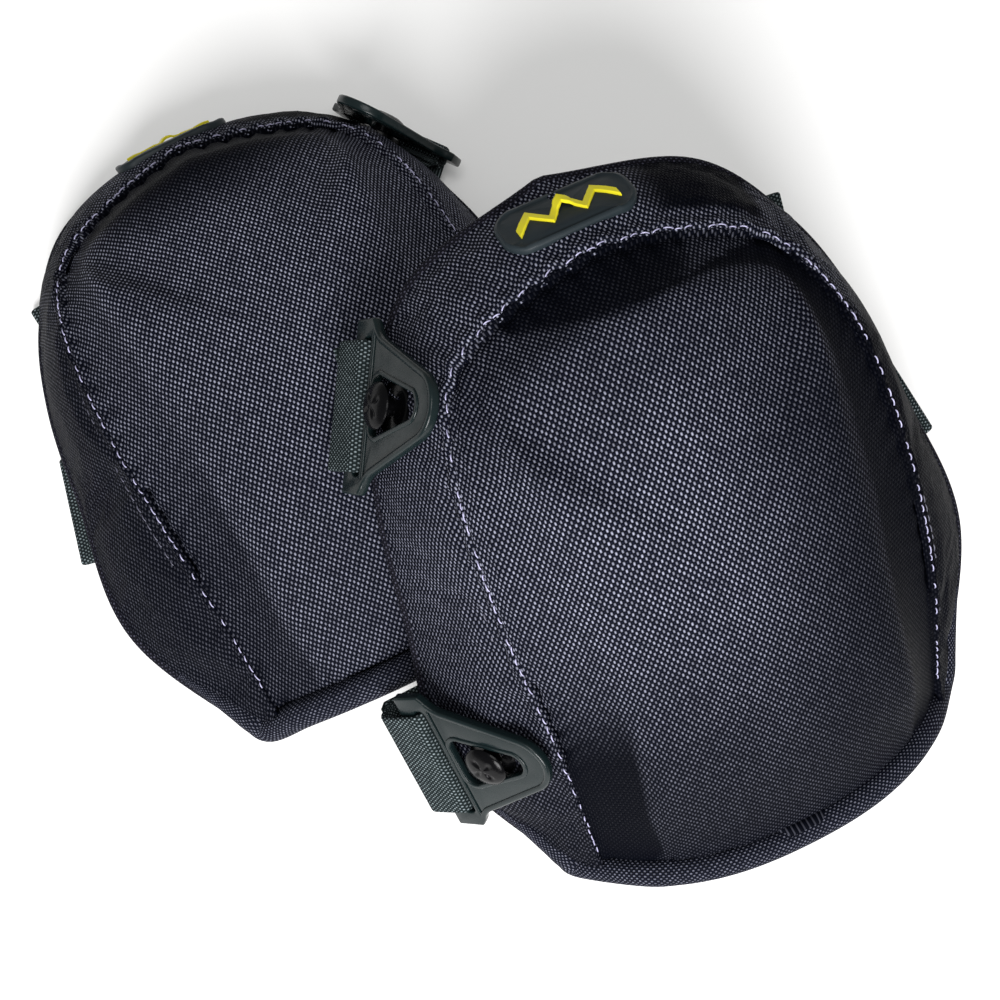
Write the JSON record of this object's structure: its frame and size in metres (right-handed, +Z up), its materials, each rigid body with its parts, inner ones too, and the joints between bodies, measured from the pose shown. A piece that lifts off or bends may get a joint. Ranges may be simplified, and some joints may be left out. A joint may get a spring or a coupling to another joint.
{
  "type": "knee pads",
  "caption": "Soft-cap knee pads: padded ballistic fabric caps with a fabric border, elastic straps and triangular clips that hook on studs.",
  "frame": {"origin": "on the floor, at the middle of the box round both pads", "axes": "+Z up from the floor, +Y up the left pad from its shin edge to its top, +X towards the left pad's clips"},
  "size_m": [0.2615, 0.323, 0.1243],
  "materials": {
    "ballistic_fabric": "woven nylon, basket weave",
    "core_foam": "closed-cell foam",
    "comfort_foam": "soft foam",
    "liner_fabric": "brushed knit",
    "binding_tape": "ribbed nylon tape",
    "badge_rubber": "soft moulded rubber",
    "badge_yellow": "moulded colour",
    "clip_plastic": "satin moulded",
    "washer_steel": "plain",
    "elastic_webbing": "knitted elastic"
  },
  "bodies": {
    "left_pad": {"left_cap_panel": "ballistic_fabric", "left_border_band": "ballistic_fabric", "left_foam_core": "core_foam", "left_comfort_foam": "comfort_foam", "left_knee_liner": "liner_fabric", "left_rim_binding": "binding_tape", "left_hem_roll": "ballistic_fabric", "left_badge": "badge_rubber", "left_badge_motif": "badge_yellow", "left_upper_stud": "clip_plastic", "left_upper_stud_washer": "washer_steel", "left_upper_strap": "elastic_webbing", "left_upper_strap_fold": "elastic_webbing", "left_lower_stud": "clip_plastic", "left_lower_stud_washer": "washer_steel", "left_lower_strap": "elastic_webbing", "left_lower_strap_fold": "elastic_webbing"},
    "right_pad": {"right_cap_panel": "ballistic_fabric", "right_border_band": "ballistic_fabric", "right_foam_core": "core_foam", "right_comfort_foam": "comfort_foam", "right_knee_liner": "liner_fabric", "right_rim_binding": "binding_tape", "right_hem_roll": "ballistic_fabric", "right_badge": "badge_rubber", "right_badge_motif": "badge_yellow", "right_upper_stud": "clip_plastic", "right_upper_stud_washer": "washer_steel", "right_upper_strap": "elastic_webbing", "right_upper_strap_fold": "elastic_webbing", "right_lower_stud": "clip_plastic", "right_lower_stud_washer": "washer_steel", "right_lower_strap": "elastic_webbing", "right_lower_strap_fold": "elastic_webbing"},
    "left_upper_buckle": {"left_upper_clip": "clip_plastic", "left_upper_strap_end": "elastic_webbing"},
    "left_lower_buckle": {"left_lower_clip": "clip_plastic", "left_lower_strap_end": "elastic_webbing"},
    "right_upper_buckle": {"right_upper_clip": "clip_plastic", "right_upper_strap_end": "elastic_webbing"},
    "right_lower_buckle": {"right_lower_clip": "clip_plastic", "right_lower_strap_end": "elastic_webbing"}
  },
  "joints": [
    {"name": "right_pad_lift", "type": "slide", "parent": "left_pad", "child": "right_pad", "axis": [0, 0, 1], "range_m": [0, 0.12]},
    {"name": "left_lower_clip_swivel", "type": "hinge", "parent": "left_pad", "child": "left_lower_buckle", "pos_m": [0.04215, 0.01315, 0.02619], "axis": [0.7387, -0.1387, 0.6596], "range_deg": [-20, 20]},
    {"name": "left_upper_clip_swivel", "type": "hinge", "parent": "left_pad", "child": "left_upper_buckle", "pos_m": [0.02918, 0.11842, 0.02102], "axis": [0.7824, 0.5239, 0.3367], "range_deg": [-20, 20]},
    {"name": "right_lower_clip_swivel", "type": "hinge", "parent": "right_pad", "child": "right_lower_buckle", "pos_m": [-0.04453, -0.08726, 0.04917], "axis": [-0.7735, -0.3661, 0.5173], "range_deg": [-20, 20]},
    {"name": "right_upper_clip_swivel", "type": "hinge", "parent": "right_pad", "child": "right_upper_buckle", "pos_m": [-0.0233, 0.00662, 0.09402], "axis": [-0.7529, 0.3715, 0.5433], "range_deg": [-20, 20]}
  ]
}
